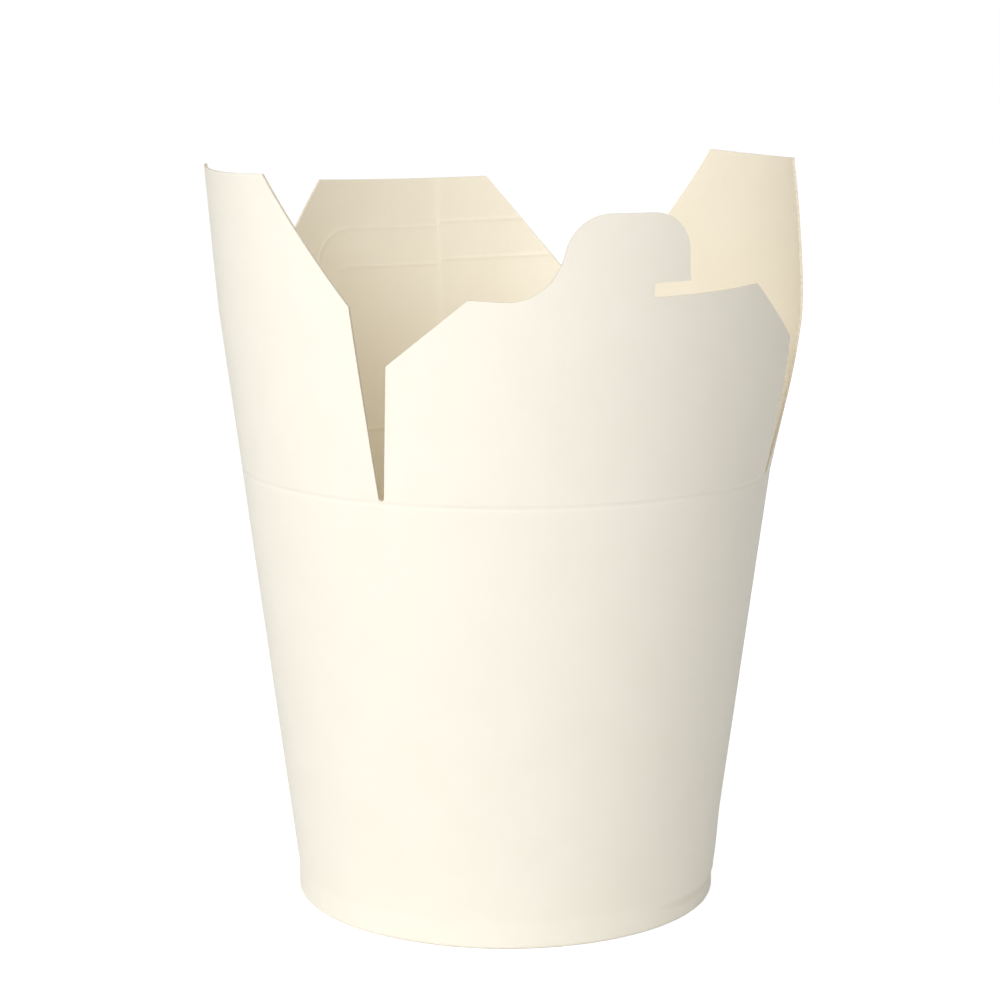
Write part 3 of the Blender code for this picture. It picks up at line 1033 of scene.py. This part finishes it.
class NoodleBoxMakeStage(bpy.types.Operator):
    """Make the floor, the lights and the camera"""

    bl_idname = "noodle_box.make_stage"
    bl_label = "Stage"

    def execute(self, context):
        box = settings()
        self.add_floor(box.look.floor, box.stage.floor_glow)
        self.add_lights(box.stage)
        self.add_world(box.stage.ambient)
        self.add_camera(box.stage)
        context.scene.view_settings.view_transform = "Standard"
        return {"FINISHED"}

    @staticmethod
    def add_floor(colour, glow):
        deselect_all()
        bpy.ops.mesh.primitive_plane_add(size=FLOOR_SIZE, location=(0.0, 0.0, 0.0))
        floor = bpy.context.active_object
        floor.name = "floor"
        material = bpy.data.materials.new("floor_paper")
        material.use_nodes = True
        tree = material.node_tree
        shader = tree.nodes["Principled BSDF"]
        shader.inputs["Base Color"].default_value = (*colour, 1.0)
        shader.inputs["Roughness"].default_value = 0.9
        lit = add_node(tree, "ShaderNodeEmission", {"Strength": glow})
        both = add_node(tree, "ShaderNodeAddShader")
        tree.links.new(shader.outputs["BSDF"], both.inputs[0])
        tree.links.new(lit.outputs["Emission"], both.inputs[1])
        show_camera(tree, shader.outputs["BSDF"], both.outputs["Shader"], "Material Output")
        floor.data.materials.append(material)

    @staticmethod
    def add_lights(stage):
        for name, energy, tint, place in (
                ("key", stage.key_power, stage.key_colour, KEY_PLACE),
                ("side", stage.side_power, WHITE, SIDE_PLACE),
                ("back", stage.back_power, WHITE, BACK_PLACE)):
            bpy.ops.object.light_add(type="AREA", location=place)
            light = bpy.context.active_object
            light.name = name + "_light"
            light.data.energy = energy
            light.data.color = tint
            light.data.size = LIGHT_SIZE
            light.rotation_euler = (LIT_POINT - place).to_track_quat("-Z", "Y").to_euler()

    @staticmethod
    def add_world(ambient):
        """An even light from all round, that the camera sees as plain white."""
        world = bpy.data.worlds.new("soft_room")
        world.use_nodes = True
        tree = world.node_tree
        around = tree.nodes["Background"]
        around.inputs["Color"].default_value = (*WHITE, 1.0)
        around.inputs["Strength"].default_value = ambient
        seen = add_node(tree, "ShaderNodeBackground", {"Color": (*WHITE, 1.0), "Strength": 1.0})
        show_camera(tree, around.outputs["Background"], seen.outputs["Background"],
                    "World Output")
        bpy.context.scene.world = world

    @staticmethod
    def add_camera(stage):
        place = at(stage.heading, stage.distance, stage.height)
        bpy.ops.object.camera_add(location=place)
        camera = bpy.context.active_object
        camera.name = "camera"
        camera.data.sensor_width = 36.0
        camera.data.lens = stage.lens
        camera.data.clip_start = 0.01
        facing = Matrix.Rotation(stage.heading + stage.turn, 4, "Z")
        upright = Matrix.Rotation(0.5 * math.pi - stage.tilt, 4, "X")
        rolled = Matrix.Rotation(stage.roll, 4, "Z")
        camera.matrix_world = Matrix.Translation(place) @ facing @ upright @ rolled
        bpy.context.scene.camera = camera


class NoodleBoxPanel(bpy.types.Panel):
    """Lists the pieces of the box and its sizes"""

    bl_idname = "VIEW3D_PT_noodle_box"
    bl_label = "Noodle Box"
    bl_space_type = "VIEW_3D"
    bl_region_type = "UI"
    bl_category = "Noodle Box"

    def draw(self, context):
        layout = self.layout
        for operator in OPERATORS:
            layout.operator(operator.bl_idname)
        box = settings()
        for group in (box.wall, box.flaps, box.tab, box.scores, box.look, box.stage):
            column = layout.column(align=True)
            for name in group.__annotations__:
                column.prop(group, name)


OPERATORS = (NoodleBoxMakeWall, NoodleBoxMakeBase, NoodleBoxMakeHookedFlap,
             NoodleBoxMakePlainFlaps, NoodleBoxMakeStage)
CLASSES = (NoodleBoxWall, NoodleBoxFlaps, NoodleBoxTab, NoodleBoxScores, NoodleBoxLook,
           NoodleBoxStage, NoodleBoxSettings, *OPERATORS, NoodleBoxPanel)


def register():
    for item in CLASSES:
        bpy.utils.register_class(item)
    bpy.types.Scene.noodle_box = bpy.props.PointerProperty(type=NoodleBoxSettings)


def unregister():
    del bpy.types.Scene.noodle_box
    for item in reversed(CLASSES):
        bpy.utils.unregister_class(item)


def main():
    register()
    bpy.ops.noodle_box.make_wall()
    bpy.ops.noodle_box.make_base()
    bpy.ops.noodle_box.make_hooked_flap()
    bpy.ops.noodle_box.make_plain_flaps()
    bpy.ops.noodle_box.make_stage()


if __name__ == "__main__":
    main()
